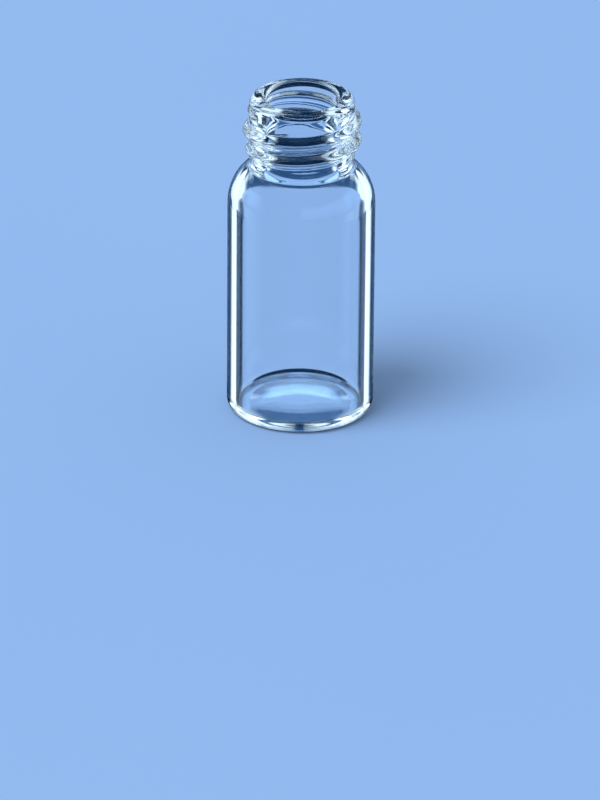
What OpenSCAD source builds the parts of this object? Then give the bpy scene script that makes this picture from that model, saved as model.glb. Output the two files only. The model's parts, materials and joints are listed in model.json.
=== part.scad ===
// Clear glass sample vial with an open screw neck.
// One continuous glass wall, drawn as a single section and turned about the Z axis:
// hollowed base, rounded heel, straight side, round shoulder, thick neck and polished rim.
// The origin is the middle of the standing ring, and +Z points out of the mouth.

/* [Body] */
// Outside diameter of the body
body_d = 16; // [15:0.1:18]
// Height from the standing ring to the top of the rim
total_h = 36.5; // [32:0.5:60]
// Wall thickness of the body
wall_t = 1.05; // [0.8:0.05:1.3]
// Outside radius of the heel, between the side and the base
heel_r = 1.05; // [0.8:0.05:1.6]

/* [Base] */
// Glass thickness over the standing ring
base_t = 0.95; // [0.7:0.05:1.6]
// Width of the flat standing ring
ring_w = 1.3; // [0.6:0.1:2.5]
// Height of the hollow pressed up under the base
hollow_h = 0.3; // [0.05:0.05:0.5]
// Rise of the floor from its edge to its middle
floor_rise = 0.2; // [0.05:0.05:0.6]
// Inside radius of the corner between the floor and the wall
corner_r = 0.45; // [0.3:0.05:1.5]

/* [Shoulder] */
// Outside radius of the round shoulder
shoulder_r = 5.25; // [4.2:0.05:6.5]
// Radius of the hollow where the shoulder meets the neck
root_r = 0.5; // [0.3:0.05:0.8]
// Radius of the throat, where the bore opens into the body
throat_r = 1.4; // [0.5:0.05:1.6]

/* [Neck] */
// Outside diameter of the neck between the thread's turns
neck_d = 11.35; // [10.8:0.05:11.8]
// Height of the neck, from its root to the top of the rim
neck_h = 7.65; // [7.5:0.05:10]
// Inside diameter of the mouth
mouth_d = 7.75; // [6.6:0.05:8.4]
// Outside radius of the rim
rim_r = 0.75; // [0.4:0.05:0.8]
// Radius of the rim on the side of the mouth
lip_r = 0.6; // [0.3:0.05:0.6]

/* [Thread] */
// Outside diameter over the thread
thread_d = 12.8; // [12.4:0.05:13.1]
// Rise of the thread in one right-hand turn
thread_pitch = 2.12; // [2.06:0.01:2.2]
// Width of the thread where it leaves the neck
thread_w = 1.65; // [1.2:0.05:1.7]
// Drop from the top of the rim to the thread's upper end
thread_drop = 1.4; // [1.3:0.05:1.5]
// Turns of the thread, with the run-out at each end
thread_turns = 2.45; // [1.8:0.05:2.5]
// Direction in which the upper end lies, turned from +X towards +Y
thread_end_angle = 240; // [0:5:355]
// Angle over which each end of the thread fades into the neck
runout_angle = 240; // [90:5:270]

/* [Hidden] */
glass = [0.80, 0.90, 0.96, 0.45];

// Steps along each rounded stretch of the section, and around the turned wall
arc_steps = 6;
turn_steps = 72;
// Power by which the hollow and the floor fall away from their middles
swell_power = 3;
// Steps in one turn of the thread and across its ridge
thread_steps = 60;
ridge_steps = 8;
// Share of the thread's depth that its ridge is rooted under the neck's surface
root_share = 0.35;
// Share of the thread's depth to which its ends sink under the neck's surface
sink_share = 0.25;

body_r = body_d / 2;
inner_r = body_r - wall_t;
neck_r = neck_d / 2;
mouth_r = mouth_d / 2;
hollow_r = body_r - heel_r - ring_w;
floor_r = inner_r - corner_r;

// Shoulder: outside and inside arcs share one centre, so the wall keeps its thickness
shoulder_x = body_r - shoulder_r;
inner_shoulder_r = shoulder_r - wall_t;
neck_z = total_h - neck_h;
root_x = neck_r + root_r;
root_reach = sqrt(pow(shoulder_r + root_r, 2) - pow(root_x - shoulder_x, 2));
shoulder_z = neck_z - root_reach;
root_turn = atan2(root_reach, root_x - shoulder_x);
throat_x = mouth_r + throat_r;
throat_reach = sqrt(pow(inner_shoulder_r + throat_r, 2) - pow(throat_x - shoulder_x, 2));
throat_z = shoulder_z + throat_reach;
throat_turn = atan2(throat_reach, throat_x - shoulder_x);

// Thread: a ridge with a cosine section, rooted in the neck's wall
thread_depth = thread_d / 2 - neck_r;
ridge_root = thread_depth * root_share;
ridge_h = thread_depth + ridge_root;
ridge_sink = thread_depth * (1 + sink_share);
ridge_half_w = thread_w / 2 * 90 / acos(ridge_root / ridge_h);
thread_top_z = total_h - thread_drop;
thread_span = 360 * thread_turns;
thread_count = ceil(thread_steps * thread_turns);

// Points along an arc, from one angle to another, with its first points left out where they are shared
function arc(centre, radius, from, to, shared = 0) =
    [for (i = [shared : arc_steps])
        let (a = from + (to - from) * i / arc_steps)
        centre + radius * [cos(a), sin(a)]];

// Points along a soft swell that falls away towards its edge, from one share of its reach to another
function swell(reach, low, rise, from, to, shared = 0) =
    [for (i = [shared : arc_steps])
        let (s = from + (to - from) * i / arc_steps)
        [reach * s, low + rise * (1 - pow(s, swell_power))]];

// The wall's section, from the middle of the hollow up the outside and down the inside
wall_section = concat(
    swell(hollow_r, 0, hollow_h, 0, 1),
    arc([body_r - heel_r, heel_r], heel_r, -90, 0),
    arc([shoulder_x, shoulder_z], shoulder_r, 0, root_turn),
    arc([root_x, neck_z], root_r, 180 + root_turn, 180, 1),
    arc([neck_r - rim_r, total_h - rim_r], rim_r, 0, 90),
    arc([mouth_r + lip_r, total_h - lip_r], lip_r, 90, 180),
    arc([throat_x, throat_z], throat_r, 180, 180 + throat_turn),
    arc([shoulder_x, shoulder_z], inner_shoulder_r, throat_turn, 0, 1),
    arc([inner_r - corner_r, base_t + corner_r], corner_r, 0, -90),
    swell(floor_r, base_t, floor_rise, 1, 0, 1)
);

// How far the ridge has sunk at a turn angle measured from the thread's upper end
function sink_at(turned) =
    let (left = min(turned, thread_span - turned) / runout_angle)
    left >= 1 ? 0 : ridge_sink * (1 - sin(90 * left));

// One ring of the ridge's section, across the thread
function ridge_ring(turned) =
    let (a = thread_end_angle - turned, z = thread_top_z - thread_pitch * turned / 360)
    [for (j = [0 : ridge_steps])
        let (
            across = -90 + 180 * j / ridge_steps,
            r = neck_r - ridge_root + ridge_h * cos(across) - sink_at(turned)
        )
        [r * cos(a), r * sin(a), z + ridge_half_w * across / 90]];

// Right-hand thread: a ridge swept down the neck from its upper end
module thread_ridge() {
    ring = ridge_steps + 1;
    points = [
        for (k = [0 : thread_count])
            each ridge_ring(thread_span * k / thread_count)
    ];
    sides = [
        for (k = [0 : thread_count - 1], j = [0 : ring - 1])
            let (
                a = k * ring + j,
                b = k * ring + (j + 1) % ring,
                c = a + ring,
                d = b + ring
            )
            each [[a, c, b], [b, c, d]]
    ];
    first_end = [for (j = [0 : ring - 1]) j];
    last_end = [for (j = [ring - 1 : -1 : 0]) thread_count * ring + j];
    polyhedron(points, concat(sides, [first_end, last_end]));
}

// The whole vial, one piece of glass
module vial() {
    color(glass)
    union() {
        rotate_extrude($fn = turn_steps)
            polygon(wall_section);
        thread_ridge();
    }
}

vial();
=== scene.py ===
import bisect
import json
import math
from types import SimpleNamespace

import bpy
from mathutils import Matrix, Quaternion, Vector


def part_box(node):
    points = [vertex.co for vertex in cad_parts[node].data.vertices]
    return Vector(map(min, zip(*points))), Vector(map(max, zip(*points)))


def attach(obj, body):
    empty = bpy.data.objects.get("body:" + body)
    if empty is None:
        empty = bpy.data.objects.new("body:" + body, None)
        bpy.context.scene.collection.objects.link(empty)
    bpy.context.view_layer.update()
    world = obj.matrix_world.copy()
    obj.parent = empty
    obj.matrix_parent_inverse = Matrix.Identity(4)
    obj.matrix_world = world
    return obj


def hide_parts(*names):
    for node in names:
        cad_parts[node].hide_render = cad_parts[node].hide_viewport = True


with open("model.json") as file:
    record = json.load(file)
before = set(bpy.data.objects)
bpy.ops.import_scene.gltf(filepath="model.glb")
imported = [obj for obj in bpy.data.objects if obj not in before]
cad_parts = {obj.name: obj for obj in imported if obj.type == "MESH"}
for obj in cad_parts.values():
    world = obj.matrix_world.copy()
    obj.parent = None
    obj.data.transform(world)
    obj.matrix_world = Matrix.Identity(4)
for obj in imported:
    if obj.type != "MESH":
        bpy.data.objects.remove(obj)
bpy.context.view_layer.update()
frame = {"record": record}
mm = 0.001
degrees = 180 / math.pi


class Wire:  # a socket that does maths as Python does, in a shader or a geometry tree
    def __init__(self, tree, socket):
        self.tree = tree
        self.socket = socket

    def add(self, kind, settings=None, values=None):  # any other node, by its type
        node = self.tree.nodes.new(kind)
        for name, value in (settings or {}).items():
            setattr(node, name, value)
        for name, value in (values or {}).items():
            self.plug(node.inputs[name], value)
        return node

    def plug(self, target, value):
        if isinstance(value, Wire):
            self.tree.links.new(value.socket, target)
        elif hasattr(value, "is_output"):
            self.tree.links.new(value, target)
        else:
            target.default_value = value

    def maths(self, operation, *values):
        node = self.add("ShaderNodeMath", {"operation": operation}, dict(enumerate(values)))
        return Wire(self.tree, node.outputs[0])

    def __add__(self, other):
        return self.maths("ADD", self, other)

    def __radd__(self, other):
        return self.maths("ADD", other, self)

    def __sub__(self, other):
        return self.maths("SUBTRACT", self, other)

    def __rsub__(self, other):
        return self.maths("SUBTRACT", other, self)

    def __mul__(self, other):
        return self.maths("MULTIPLY", self, other)

    def __rmul__(self, other):
        return self.maths("MULTIPLY", other, self)

    def __truediv__(self, other):
        return self.maths("DIVIDE", self, other)

    def __rtruediv__(self, other):
        return self.maths("DIVIDE", other, self)


def startTree(tree):
    tree.nodes.clear()
    return Wire(tree, None)


def out(w, node, name=0):
    return Wire(w.tree, node.outputs[name])


def larger(w, first, second):
    return w.maths("MAXIMUM", first, second)


def smaller(w, first, second):
    return w.maths("MINIMUM", first, second)


def edge(w, value, at, blur):  # 0 below a limit and 1 above it, softly
    node = w.add(
        "ShaderNodeMapRange",
        {"interpolation_type": "SMOOTHSTEP"},
        {"Value": value, "From Min": at - blur, "From Max": at + blur},
    )
    return out(w, node)


def band(w, value, low, high, blur):
    return edge(w, value, low, blur) * (1 - edge(w, value, high, blur))


def atLeast(w, count, number):
    return w.maths("GREATER_THAN", count, number - 0.5)


def mixColour(w, factor, first, second):
    node = w.add("ShaderNodeMix", {"data_type": "RGBA"})
    for socket, value in ((0, factor), (6, first), (7, second)):
        w.plug(node.inputs[socket], value)
    return Wire(w.tree, node.outputs[2])


def noise(w, vector, scale, detail):
    node = w.add("ShaderNodeTexNoise", None, {"Vector": vector, "Scale": scale, "Detail": detail})
    return out(w, node, "Fac")


# the camera, at the photograph's viewing angle
cameraPlace = {
    "imageWidth": 600,  # pixels
    "imageHeight": 800,
    "baseAt": (299.85, 403.6),  # pixel of the base's middle
    "pixelsPerMm": 9.125,  # at the base's middle
    "elevation": 25.2,  # degrees
    "distance": 740 * mm,
    "roll": 0.45,  # degrees the vial leans to the right
    "sensor": 36.0,
    "clip": (0.01, 10.0),  # metres
}


def makeCamera(c):
    data = bpy.data.cameras.new("camera")
    camera = bpy.data.objects.new("camera", data)
    bpy.context.collection.objects.link(camera)
    up = math.radians(c["elevation"])
    back = Vector((0, -math.cos(up), math.sin(up)))
    turn = (-back).to_track_quat("-Z", "Y") @ Quaternion((0, 0, 1), math.radians(c["roll"]))
    offset = Vector((c["imageWidth"] / 2 - c["baseAt"][0], c["baseAt"][1] - c["imageHeight"] / 2, 0))
    camera.location = back * c["distance"] + turn @ (offset * mm / c["pixelsPerMm"])
    camera.rotation_euler = turn.to_euler()
    data.sensor_width = c["sensor"]
    data.lens = c["sensor"] * c["pixelsPerMm"] * c["distance"] / mm / c["imageHeight"]
    data.clip_start, data.clip_end = c["clip"]
    bpy.context.scene.camera = camera
    print("camera set, lens", round(data.lens, 1), "mm")


# the vial, in millimetres
vialSizes = {
    "wall": 1.05,
    "heel": 1.05,  # outside radius at the base
    "baseThick": 0.95,
    "ring": 1.3,  # width of the flat the vial stands on
    "hollow": 0.3,  # how far the base is pressed up
    "floorRise": 0.2,
    "corner": 0.45,  # inside radius at the floor
    "swellPower": 3,  # how the hollow and the floor fall away
    "shoulder": 5.25,  # outside radius
    "root": 0.5,  # hollow radius under the neck
    "throat": 1.4,  # rounding where the bore opens out
    "neckD": 11.35,
    "neckH": 7.65,
    "rim": 0.75,
    "lip": 0.6,
    "threadD": 12.8,
    "pitch": 2.12,
    "ridge": 1.65,  # width of the thread's ridge at the neck
    "threadDrop": 1.4,  # rim to the thread's upper end
    "threadTurns": 2.45,
    "threadEnd": 240,  # degrees from +X to the upper end
    "runout": 240,  # degrees over which each end fades
    "rootShare": 0.35,
    "sinkShare": 0.25,
    "rootBlend": 0.07,  # softness where the ridge leaves the neck
    "bendSmall": 0.25,  # reach of the softening along the wall
    "bendLarge": 1.4,  # the same at the shoulder
    "bendSpan": 1.8,  # how far the larger reach holds from the shoulder's lower end
    "bendFade": 1.2,
    "sides": 256,  # steps round the vial
    "rows": {  # steps along each stretch of the wall
        "swell": 20,
        "heel": 16,
        "side": 26,
        "shoulder": 36,
        "root": 10,
        "neck": 110,
        "rim": 14,
        "bore": 12,
        "throat": 14,
        "inside": 30,
        "corner": 14,
    },
}


def arc(cx, cz, radius, start, end, steps):
    turns = [math.radians(start + (end - start) * i / steps) for i in range(steps + 1)]
    return [(cx + radius * math.cos(a), cz + radius * math.sin(a)) for a in turns]


def run(x0, z0, x1, z1, steps, even=False):  # closer rows towards the ends
    shares = [i / steps if even else (1 - math.cos(math.pi * i / steps)) / 2 for i in range(1, steps)]
    return [(x0 + (x1 - x0) * s, z0 + (z1 - z0) * s) for s in shares]


def swell(reach, low, rise, steps, power):
    shares = [i / steps for i in range(steps + 1)]
    return [(reach * s, low + rise * (1 - s ** power)) for s in shares]


def soften(points, reachAt, taps=12):  # bends change gently, as in drawn glass
    far = [0.0]
    for a, b in zip(points, points[1:]):
        far.append(far[-1] + math.dist(a, b))

    def at(s):
        if s < 0 or s > far[-1]:  # past the axis
            x, z = at(-s if s < 0 else 2 * far[-1] - s)
            return -x, z
        i = min(bisect.bisect_right(far, s), len(points) - 1)
        share = (s - far[i - 1]) / max(far[i] - far[i - 1], 1e-9)
        return tuple(p + (q - p) * share for p, q in zip(points[i - 1], points[i]))

    shares = [k / taps for k in range(1 - taps, taps)]
    total = sum(1 - abs(k) for k in shares)
    made = []
    for s, (x, z) in zip(far, points):
        near = [(at(s + k * reachAt(z)), 1 - abs(k)) for k in shares]
        made.append(tuple(sum(p[axis] * k for p, k in near) / total for axis in (0, 1)))
    return made


def wallSection(v, bodyR, height, mouthR):  # from the hollow, up the outside and down the inside
    rows = v["rows"]
    heel, rim, lip, throat, corner = (v[n] for n in ("heel", "rim", "lip", "throat", "corner"))
    inner = bodyR - v["wall"]
    neckR = v["neckD"] / 2
    neckZ = height - v["neckH"]
    sx = bodyR - v["shoulder"]
    rx = neckR + v["root"]
    reach = math.sqrt((v["shoulder"] + v["root"]) ** 2 - (rx - sx) ** 2)
    sz = neckZ - reach
    rootTurn = math.degrees(math.atan2(reach, rx - sx))
    innerR = v["shoulder"] - v["wall"]
    tx = mouthR + throat
    dip = math.sqrt((innerR + throat) ** 2 - (tx - sx) ** 2)
    tz = sz + dip
    throatTurn = math.degrees(math.atan2(dip, tx - sx))
    rimZ = height - rim
    lipZ = height - lip
    cornerZ = v["baseThick"] + corner
    below = (
        swell(bodyR - heel - v["ring"], 0, v["hollow"], rows["swell"], v["swellPower"])
        + arc(bodyR - heel, heel, heel, -90, 0, rows["heel"])
        + run(bodyR, heel, bodyR, sz, rows["side"])
        + arc(sx, sz, v["shoulder"], 0, rootTurn, rows["shoulder"])
        + arc(rx, neckZ, v["root"], 180 + rootTurn, 180, rows["root"])[1:-1]
    )
    neck = [(neckR, neckZ)] + run(neckR, neckZ, neckR, rimZ, rows["neck"], True)
    above = (
        arc(neckR - rim, rimZ, rim, 0, 90, rows["rim"])
        + arc(mouthR + lip, lipZ, lip, 90, 180, rows["bore"])
        + run(mouthR, lipZ, mouthR, tz, rows["bore"])
        + arc(tx, tz, throat, 180, 180 + throatTurn, rows["throat"])
        + arc(sx, sz, innerR, throatTurn, 0, rows["inside"])[1:]
        + run(inner, sz, inner, cornerZ, rows["side"])
        + arc(inner - corner, cornerZ, corner, 0, -90, rows["corner"])
        + swell(inner - corner, v["baseThick"], v["floorRise"], rows["swell"], v["swellPower"])[-2::-1]
    )

    def reachAt(z):  # widest about the shoulder's lower end
        share = 1 - min(1, max(0, abs(z - sz) - v["bendSpan"]) / v["bendFade"])
        return v["bendSmall"] + (v["bendLarge"] - v["bendSmall"]) * share

    points = soften(below + neck + above, reachAt)
    threaded = [0.0] * len(below) + [1.0] * len(neck) + [0.0] * len(above)
    return points, threaded


def latheInputs(v, rowCount, height):  # what the tree is given, by the names of its inputs
    depth = (v["threadD"] - v["neckD"]) / 2
    rooted = depth * v["rootShare"]
    crossing = math.degrees(math.acos(rooted / (depth + rooted)))
    return {
        "Sides": v["sides"],
        "Rows": rowCount,
        "Thread Depth": depth,
        "Rooted Depth": rooted,
        "Sunk Depth": depth * (1 + v["sinkShare"]),
        "Ridge Half Width": v["ridge"] / 2 * 90 / crossing,
        "Thread Top": height - v["threadDrop"],
        "Pitch": v["pitch"],
        "Thread Angle": v["threadTurns"] * 360.0,
        "End Angle": float(v["threadEnd"]),
        "Fade Angle": float(v["runout"]),
        "Root Blend": v["rootBlend"],
    }


def threadHeight(w, given, angle, z):  # the ridge's height at a point of the neck
    pitch = out(w, given, "Pitch")
    top = out(w, given, "Thread Top")
    rooted = out(w, given, "Rooted Depth")
    blend = out(w, given, "Root Blend")
    first = w.maths("FLOORED_MODULO", out(w, given, "End Angle") - angle, 360)
    turn = w.maths("ROUND", (top - z) / pitch - first / 360)
    turned = first + turn * 360
    across = (z - top + turned * pitch / 360) / out(w, given, "Ridge Half Width")
    left = smaller(w, turned, out(w, given, "Thread Angle") - turned) / out(w, given, "Fade Angle")
    left = smaller(w, larger(w, left, 0), 1)
    sink = (1 - w.maths("SINE", left * (math.pi / 2))) * out(w, given, "Sunk Depth")
    crown = w.maths("COSINE", smaller(w, w.maths("ABSOLUTE", across), 1) * (math.pi / 2))
    raw = crown * (out(w, given, "Thread Depth") + rooted) - rooted - sink
    return (raw + w.maths("SQRT", raw * raw + blend * blend)) / 2  # soft edge at the root


def latheTree(inputs, material):
    tree = bpy.data.node_groups.new("turnedWall", "GeometryNodeTree")
    tree.interface.new_socket("Geometry", in_out="INPUT", socket_type="NodeSocketGeometry")
    for name, value in inputs.items():
        kind = "NodeSocketInt" if isinstance(value, int) else "NodeSocketFloat"
        tree.interface.new_socket(name, in_out="INPUT", socket_type=kind)
    tree.interface.new_socket("Geometry", in_out="OUTPUT", socket_type="NodeSocketGeometry")
    w = startTree(tree)
    given = w.add("NodeGroupInput")
    sides = out(w, given, "Sides")
    rowCount = out(w, given, "Rows")
    grid = w.add("GeometryNodeMeshGrid", None, {"Vertices X": sides + 1, "Vertices Y": rowCount})
    index = out(w, w.add("GeometryNodeInputIndex"))
    column = w.maths("FLOOR", (index + 0.5) / rowCount)
    row = index - column * rowCount

    def fromSection(kind, value):  # a value of the drawn section, at this row
        values = {"Geometry": given.outputs["Geometry"], "Value": value, "Index": row}
        return out(w, w.add("GeometryNodeSampleIndex", {"data_type": kind}, values))

    place = fromSection("FLOAT_VECTOR", out(w, w.add("GeometryNodeInputPosition")))
    mark = w.add("GeometryNodeInputNamedAttribute", {"data_type": "FLOAT"}, {"Name": "threaded"})
    onNeck = fromSection("FLOAT", out(w, mark))
    split = w.add("ShaderNodeSeparateXYZ", None, {"Vector": place})
    angle = column / sides * 360
    z = out(w, split, "Z")
    radius = out(w, split, "X") + threadHeight(w, given, angle, z) * onNeck
    turn = angle * (math.pi / 180)
    across = {"X": w.maths("COSINE", turn) * radius, "Y": w.maths("SINE", turn) * radius, "Z": z}
    turned = out(w, w.add("ShaderNodeCombineXYZ", None, across))
    metres = w.add("ShaderNodeVectorMath", {"operation": "SCALE"}, {"Vector": turned, "Scale": mm})
    body = grid.outputs["Mesh"]
    body = out(w, w.add("GeometryNodeSetPosition", None, {"Geometry": body, "Position": out(w, metres)}))
    body = out(w, w.add("GeometryNodeMergeByDistance", None, {"Geometry": body, "Distance": 0.001 * mm}))
    body = out(w, w.add("GeometryNodeSetShadeSmooth", None, {"Geometry": body}))
    body = out(w, w.add("GeometryNodeRealizeInstances", None, {"Geometry": body}))
    body = out(w, w.add("GeometryNodeSetMaterial", None, {"Geometry": body, "Material": material}))
    w.add("NodeGroupOutput", None, {"Geometry": body})
    return tree


def socketName(tree, name):
    return next(i.identifier for i in tree.interface.items_tree if i.name == name and i.in_out == "INPUT")


# the glass, with its faint marks of making and handling
glassLook = {
    "ior": 1.5,
    "clearTint": (0.985, 0.996, 1.0),
    "deepTint": (0.965, 0.988, 1.0),
    "tintScale": 0.2,
    "cleanRough": 0.0,
    "filmRough": 0.05,  # where hands have left a faint film
    "filmScale": 0.35,
    "filmFrom": (0.6, 0.12),
    "strain": 0.0012,  # height in mm of the drawn lines along the body
    "strainScale": 0.9,
    "strainStretch": (1.0, 1.0, 0.05),
    "wave": 0.006,  # height in mm of the flame-worked waves at the neck
    "waveScale": 0.55,
    "workedFrom": (26.0, 3.0),  # mm above the base, with the reach of the change
}


def clearGlass(g):
    material = bpy.data.materials.new("clearGlass")
    material.use_nodes = True
    w = startTree(material.node_tree)
    coords = w.add("ShaderNodeTexCoord").outputs["Object"]
    scaled = w.add("ShaderNodeVectorMath", {"operation": "SCALE"}, {"Vector": coords, "Scale": 1 / mm})
    place = out(w, scaled)
    drawn = w.add("ShaderNodeVectorMath", {"operation": "MULTIPLY"}, {0: place, 1: g["strainStretch"]})
    height = out(w, w.add("ShaderNodeSeparateXYZ", None, {"Vector": place}), "Z")
    lines = noise(w, out(w, drawn), g["strainScale"], 1.0) * g["strain"]
    waves = noise(w, place, g["waveScale"], 0.0) * edge(w, height, *g["workedFrom"]) * g["wave"]
    bump = w.add("ShaderNodeBump", None, {"Height": lines + waves, "Strength": 1.0, "Distance": mm})
    film = edge(w, noise(w, place, g["filmScale"], 2.0), *g["filmFrom"])
    tint = mixColour(w, noise(w, place, g["tintScale"], 1.0), (*g["clearTint"], 1), (*g["deepTint"], 1))
    values = {
        "Base Color": tint,
        "Roughness": film * (g["filmRough"] - g["cleanRough"]) + g["cleanRough"],
        "Normal": bump.outputs[0],
        "IOR": g["ior"],
        "Transmission Weight": 1.0,
    }
    shader = w.add("ShaderNodeBsdfPrincipled", None, values)
    w.add("ShaderNodeOutputMaterial", None, {"Surface": shader.outputs[0]})
    return material


def makeVial(v):
    mounts = {m["name"]: m["dims"] for m in frame["record"]["mounts"]}
    low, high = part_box("vial")
    height = (high[2] - low[2]) / mm
    points, threaded = wallSection(v, mounts["body_side"]["r_mm"], height, mounts["mouth"]["r_mm"])
    section = bpy.data.meshes.new("wallSection")
    section.from_pydata([(x, 0, z) for x, z in points], [(i, i + 1) for i in range(len(points) - 1)], [])
    section.attributes.new("threaded", "FLOAT", "POINT").data.foreach_set("value", threaded)
    drawn = bpy.data.objects.new("wallSection", section)
    bpy.context.collection.objects.link(drawn)
    inputs = latheInputs(v, len(points), height)
    lathe = drawn.modifiers.new("turn", "NODES")
    lathe.node_group = latheTree(inputs, clearGlass(glassLook))
    for name, value in inputs.items():
        lathe[socketName(lathe.node_group, name)] = value
    view = bpy.context.evaluated_depsgraph_get()
    mesh = bpy.data.meshes.new_from_object(drawn.evaluated_get(view))
    drawn.modifiers.remove(lathe)
    bpy.data.objects.remove(drawn)
    vial = bpy.data.objects.new("glassVial", mesh)
    bpy.context.collection.objects.link(vial)
    print("vial turned,", len(mesh.polygons), "faces")
    return vial


# the floor
floorLook = {
    "colour": (0.29, 0.49, 0.87),
    "light": (0.30, 0.505, 0.885),
    "deep": (0.28, 0.475, 0.855),
    "cloudScale": 9.0,
    "rough": (0.32, 0.42),
    "half": 1.2,  # metres to each side
    "drop": 0.02 * mm,  # below the standing ring
    "sheenLow": 0.5,  # share of light returned to the glass from straight below
    "sheenPower": 5,
}


def floorSheen(w, facing, f):  # more at a flat angle
    return w.maths("POWER", facing, f["sheenPower"]) * (1 - f["sheenLow"]) + f["sheenLow"]


def seenByGlass(w):  # 1 for rays that have met the glass and no plain surface
    path = w.add("ShaderNodeLightPath")
    met = larger(w, out(w, path, "Is Glossy Ray"), out(w, path, "Is Transmission Ray"))
    return met * w.maths("LESS_THAN", out(w, path, "Diffuse Depth"), 0.5)


def paleFloor(f):
    material = bpy.data.materials.new("paleFloor")
    material.use_nodes = True
    w = startTree(material.node_tree)
    cloud = noise(w, w.add("ShaderNodeTexCoord").outputs["Object"], f["cloudScale"], 1.0)
    values = {
        "Base Color": mixColour(w, cloud, (*f["light"], 1), (*f["deep"], 1)),
        "Roughness": cloud * (f["rough"][1] - f["rough"][0]) + f["rough"][0],
        "Specular IOR Level": 0.0,
    }
    matte = w.add("ShaderNodeBsdfPrincipled", None, values).outputs[0]
    sheen = w.add("ShaderNodeBsdfGlossy", None, {"Color": (1, 1, 1, 1), "Roughness": 0.0}).outputs[0]
    black = w.add("ShaderNodeBsdfDiffuse", None, {"Color": (0, 0, 0, 1)}).outputs[0]
    facing = out(w, w.add("ShaderNodeLayerWeight", None, {"Blend": 0.5}), "Facing")
    share = floorSheen(w, facing, f)
    toGlass = w.add("ShaderNodeMixShader", None, {0: share, 1: black, 2: sheen}).outputs[0]
    mixed = w.add("ShaderNodeMixShader", None, {0: seenByGlass(w), 1: matte, 2: toGlass}).outputs[0]
    w.add("ShaderNodeOutputMaterial", None, {"Surface": mixed})
    return material


def makeFloor(f):
    half = f["half"]
    mesh = bpy.data.meshes.new("floor")
    corners = [(-half, -half, 0), (half, -half, 0), (half, half, 0), (-half, half, 0)]
    mesh.from_pydata(corners, [], [(0, 1, 2, 3)])
    mesh.materials.append(paleFloor(f))
    floor = bpy.data.objects.new("floor", mesh)
    bpy.context.collection.objects.link(floor)
    floor.location.z = -f["drop"]
    print("floor laid,", 2 * half, "m across")


# the studio round the glass: painted light and dark fields one above the other that only the glass sees,
# picked also by how often a ray has crossed the glass and been turned back in it
# a limit is in degrees with its softness, and a span has two: turns are from straight back, to the right
studioLook = {
    "skyLevel": 0.5,  # plain light on the floor
    "dark": (0.003, 0.016, 0.048),
    "shade": (0.026, 0.084, 0.216),
    "strip": (1.06, 1.34, 1.50),
    "glow": (0.80, 1.04, 1.18),  # above the strips
    "patch": (0.62, 1.10, 1.70),  # painted highlight on the vial's floor, seen only by way of the base
    "crescent": (0.07, 0.17, 0.40),  # painted shade, the deeper blue in front of it, seen by way of the base
    "clearLift": 0.07,  # painted extra light for what shows clean through, making good what is lost in the walls
    "deepShare": 0.33,  # share of painted white glint in light that stays long in the neck
    "lowTop": (7.5, 0.5),  # where each field ends, above the floor
    "midTop": (20.2, 0.5),
    "highTop": (28.3, 0.7),
    "baseLift": 1.6,  # the last one, seen by way of the base
    "backHalf": (62, 3),  # how far the back reaches to each side
    "asideSpan": (20, 75, 3),  # low light from here counts as led along the wall
    "asideTop": (9, 1),
    "clearFrom": (100, 5),  # turn past which the far side of the bore shows clear
    "lowSpan": (-142, 62, 3),
    "lowGap": (17, 25, 2),
    "lowStrip": (25, 2),
    "cornerTurn": 135,  # the middle of the clear gap in front
    "cornerGap": (17, 30, 4),
    "sideStrip": (83, 105, 2),
    "midStrip": (16, 58, 3),
    "fadeFrom": (26, 7),  # where the high field darkens in front
    "highGap": (17, 36, 2),
    "sideGap": (-76, -56, 2),
    "wallStrip": (28, 46.5, 2),
    "wallDark": (46.5, 76, 2),
    "outerShift": 9,  # the strip as the outer skin shows it
    "glowSpan": (22, 158, 5),
    "glowTop": (62, 8),
    "glowFront": (100, 10),
    "patchHalf": (8.5, 3),
    "patchSpan": (3, 23.6, 0.6),
    "frontFrom": (100, 12),  # where the unlit front begins
    "steepFrom": (36, 6),
    "steepShift": 40,  # how much further out the flanks begin for steep rays
    "flankFrom": (25, 8),
}


def readRay(w, s):  # where a ray is bound, and what it has met
    bound = w.add("ShaderNodeTexCoord").outputs["Generated"]
    split = w.add("ShaderNodeSeparateXYZ", None, {"Vector": bound})
    path = w.add("ShaderNodeLightPath")
    crossed = out(w, path, "Transmission Depth")
    returned = out(w, path, "Glossy Depth")
    ray = SimpleNamespace()
    ray.direct = out(w, path, "Is Camera Ray")
    ray.rise = larger(w, out(w, split, "Z"), 0)
    ray.up = w.maths("ARCSINE", ray.rise) * degrees
    ray.turn = w.maths("ARCTAN2", out(w, split, "X"), out(w, split, "Y")) * degrees
    ray.side = w.maths("ABSOLUTE", ray.turn)
    ray.back = 1 - edge(w, ray.side, *s["backHalf"])
    ray.entered = atLeast(w, crossed, 2)
    ray.bothWalls = atLeast(w, crossed, 4)  # across the hollow
    ray.nearBase = atLeast(w, crossed, 6)
    ray.viaBase = atLeast(w, crossed, 7)
    ray.trapped = atLeast(w, returned, 3)  # turned back again and again inside the wall
    turnedBack = atLeast(w, returned, 2)
    aside = band(w, ray.side, *s["asideSpan"]) * (1 - edge(w, ray.up, *s["asideTop"]))
    ray.led = ray.entered * (1 - ray.bothWalls) * larger(w, turnedBack, aside)  # along the wall
    ray.walls = larger(w, ray.led, ray.bothWalls)
    farBore = ray.entered * edge(w, ray.turn, *s["clearFrom"])
    ray.clear = larger(w, ray.bothWalls, farBore) * (1 - turnedBack)  # seen clean through
    return ray


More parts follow.
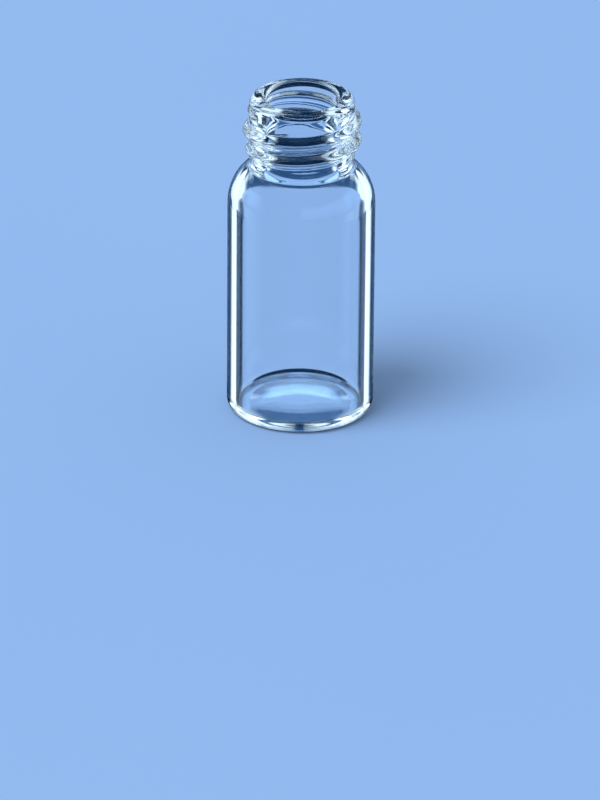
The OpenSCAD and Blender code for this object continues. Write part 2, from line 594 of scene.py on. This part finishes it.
def lowField(w, s, tone, ray):  # just above the floor
    seen = band(w, ray.turn, *s["lowSpan"])
    quarter = 45 - w.maths("ABSOLUTE", w.maths("FLOORED_MODULO", ray.turn, 90) - 45)
    colour = mixColour(w, ray.led * seen, tone.pale, tone.dark)
    colour = mixColour(w, band(w, quarter, *s["lowGap"]) * ray.walls * seen, colour, tone.dark)
    lining = mixColour(w, ray.led, tone.pale, tone.strip)
    return mixColour(w, edge(w, quarter, *s["lowStrip"]) * seen, colour, lining)


def midField(w, s, tone, ray):
    corner = w.maths("ABSOLUTE", ray.turn - s["cornerTurn"])
    front = mixColour(w, band(w, corner, *s["cornerGap"]) * ray.walls, tone.pale, tone.dark)
    front = mixColour(w, band(w, ray.turn, *s["sideStrip"]) * ray.led, front, tone.strip)
    back = mixColour(w, band(w, ray.side, *s["midStrip"]) * ray.walls, tone.shade, tone.strip)
    return mixColour(w, ray.back, front, back)


def highField(w, s, tone, ray):  # what shows through the body
    fading = mixColour(w, (1 - ray.back) * edge(w, ray.up, *s["fadeFrom"]), tone.pale, tone.dark)
    gap = larger(w, band(w, ray.side, *s["highGap"]), band(w, ray.turn, *s["sideGap"]))
    colour = mixColour(w, ray.led * ray.back, mixColour(w, gap, fading, tone.dark), tone.shade)
    colour = mixColour(w, (1 - ray.entered) * ray.back, colour, tone.dark)
    colour = mixColour(w, band(w, ray.side, *s["wallDark"]) * ray.led, colour, tone.dark)
    shifted = ray.side - (1 - ray.entered) * s["outerShift"]
    return mixColour(w, band(w, shifted, *s["wallStrip"]) * (1 - ray.bothWalls), colour, tone.strip)


def topField(w, s, tone, ray):
    glowing = band(w, ray.side, *s["glowSpan"]) * (1 - edge(w, ray.up, *s["glowTop"]))
    glowing = glowing * larger(w, 1 - edge(w, ray.side, *s["glowFront"]), ray.trapped)
    # rays seen by way of the base show painted shade in deeper blue instead of dark
    return mixColour(w, glowing * ray.led, mixColour(w, ray.viaBase, tone.dark, tone.crescent), tone.glow)


def studioFields(w, s, tone, ray):
    lifted = ray.up - ray.viaBase * s["baseLift"]
    colour = lowField(w, s, tone, ray)
    colour = mixColour(w, edge(w, ray.up, *s["lowTop"]), colour, midField(w, s, tone, ray))
    colour = mixColour(w, edge(w, ray.up, *s["midTop"]), colour, highField(w, s, tone, ray))
    colour = mixColour(w, edge(w, lifted, *s["highTop"]), colour, topField(w, s, tone, ray))
    # painted highlight on the vial's floor, shown only to rays that come by way of the base
    baseHighlightMask = (1 - edge(w, ray.side, *s["patchHalf"])) * band(w, ray.up, *s["patchSpan"])
    colour = mixColour(w, ray.viaBase * baseHighlightMask, colour, tone.patch)
    front = edge(w, ray.side, *s["frontFrom"]) * (1 - edge(w, ray.up, *s["highTop"]))
    colour = mixColour(w, front * (1 - ray.clear), colour, tone.dark)  # no light from the viewer's side
    # painted light and dark near the base, for light turned back again and again in the glass
    steep = edge(w, ray.up, *s["steepFrom"]) * s["steepShift"]
    flank = edge(w, smaller(w, ray.side, 180 - ray.side) - steep, *s["flankFrom"])
    colour = mixColour(w, ray.trapped * ray.nearBase, colour, mixColour(w, flank, tone.pale, tone.dark))
    # painted white glint in the neck, for light turned back again and again inside the wall
    neckGlintMask = ray.entered * ray.trapped * (1 - ray.nearBase) * flank
    return mixColour(w, neckGlintMask * s["deepShare"], colour, tone.strip)


def makeWorld(s, f):
    world = bpy.data.worlds.new("studio")
    bpy.context.scene.world = world
    world.use_nodes = True
    w = startTree(world.node_tree)
    tone = SimpleNamespace(pale=(*f["colour"], 1))
    for name in ("dark", "shade", "strip", "glow", "patch", "crescent"):
        setattr(tone, name, (*s[name], 1))
    ray = readRay(w, s)
    sky = (s["skyLevel"], s["skyLevel"], s["skyLevel"], 1)
    glass = seenByGlass(w)
    colour = mixColour(w, glass, mixColour(w, ray.direct, sky, tone.pale), studioFields(w, s, tone, ray))
    # painted extra light for what shows clean through the glass
    shown = (1 + ray.clear * s["clearLift"]) / floorSheen(w, 1 - ray.rise, f)
    level = 1 + glass * (shown - 1)
    final = w.add("ShaderNodeVectorMath", {"operation": "SCALE"}, {0: colour, "Scale": level})
    background = w.add("ShaderNodeBackground", None, {"Color": out(w, final)})
    w.add("ShaderNodeOutputWorld", None, {"Surface": background.outputs[0]})
    print("studio set,", len(world.node_tree.nodes), "nodes")


keyLight = {
    "from": (-0.45, -0.32, 0.84),
    "softness": 40.0,  # degrees across
    "strength": 1.88,
}


def makeLight(k):
    data = bpy.data.lights.new("keyLight", "SUN")
    data.angle = math.radians(k["softness"])
    data.energy = k["strength"]
    lamp = bpy.data.objects.new("keyLight", data)
    bpy.context.collection.objects.link(lamp)
    lamp.visible_glossy = False
    lamp.visible_transmission = False
    lamp.location = k["from"]
    lamp.rotation_euler = (-Vector(k["from"])).to_track_quat("-Z", "Y").to_euler()
    print("key light set, strength", k["strength"])


makeCamera(cameraPlace)
vial = makeVial(vialSizes)
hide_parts("vial")
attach(vial, "root")
makeFloor(floorLook)
makeWorld(studioLook, floorLook)
makeLight(keyLight)
scene = bpy.context.scene
scene.view_settings.view_transform = "Standard"
scene.cycles.max_bounces = 64  # light is led far along the wall before it leaves
scene.cycles.transmission_bounces = 32
scene.cycles.glossy_bounces = 48
